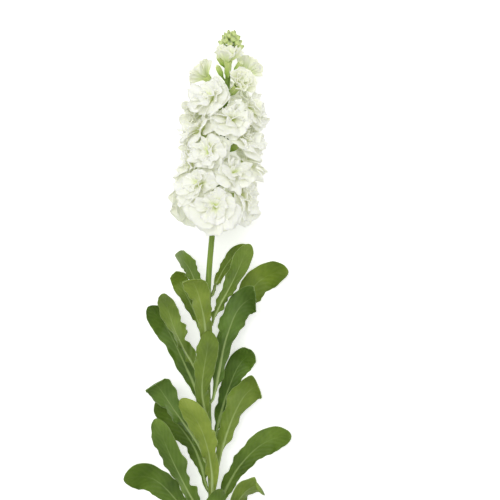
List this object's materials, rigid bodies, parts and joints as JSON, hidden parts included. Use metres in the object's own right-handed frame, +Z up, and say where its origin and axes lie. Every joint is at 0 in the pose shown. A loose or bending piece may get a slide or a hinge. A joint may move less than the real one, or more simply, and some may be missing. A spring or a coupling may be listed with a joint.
{
  "type": "cut stock flower stem",
  "caption": "Single cut stem of double white stock lying flat: a leafy green stem that ends in a spike of ruffled open florets, half-open florets and a tuft of green buds.",
  "frame": {"origin": "middle of the bounding box in X and Y, on the surface that the stem lies on", "axes": "+Y along the stem from its cut end to the bud tuft, +Z up from the surface, +X to the right when the tuft points away"},
  "size_m": [0.1492, 0.588, 0.0669],
  "materials": {
    "stem_green": "fresh green stem, faintly ridged, satin with a fine grey down",
    "petal_white": "soft matt white petals, green-yellow in the throat",
    "half_open_cream": "soft matt petals, cream white with a green tint towards the base",
    "bud_green": "matt yellow-green sepals with darker tips",
    "leaf_green": "matt green leaf with a pale midrib and rim"
  },
  "bodies": {
    "root": {"stem": "stem_green", "floret_01": "petal_white", "floret_02": "petal_white", "floret_03": "petal_white", "floret_04": "petal_white", "floret_05": "petal_white", "floret_06": "petal_white", "floret_07": "petal_white", "floret_08": "petal_white", "floret_09": "petal_white", "floret_10": "petal_white", "floret_11": "petal_white", "floret_12": "petal_white", "floret_13": "petal_white", "floret_14": "petal_white", "floret_15": "petal_white", "floret_16": "petal_white", "floret_17": "petal_white", "floret_18": "petal_white", "half_open_01": "half_open_cream", "half_open_02": "half_open_cream", "half_open_03": "half_open_cream", "half_open_04": "half_open_cream", "bud_tip_01": "half_open_cream", "bud_tip_02": "half_open_cream", "bud_tip_03": "half_open_cream", "bud_tuft": "bud_green", "leaf_01": "leaf_green", "leaf_02": "leaf_green", "leaf_03": "leaf_green", "leaf_04": "leaf_green", "leaf_05": "leaf_green", "leaf_06": "leaf_green", "leaf_07": "leaf_green", "leaf_08": "leaf_green", "leaf_09": "leaf_green", "leaf_10": "leaf_green", "leaf_11": "leaf_green", "leaf_12": "leaf_green", "leaf_13": "leaf_green", "leaf_14": "leaf_green", "leaf_15": "leaf_green", "leaf_16": "leaf_green", "leaf_17": "leaf_green", "leaf_18": "leaf_green", "leaf_19": "leaf_green", "leaf_20": "leaf_green"}
  },
  "joints": []
}
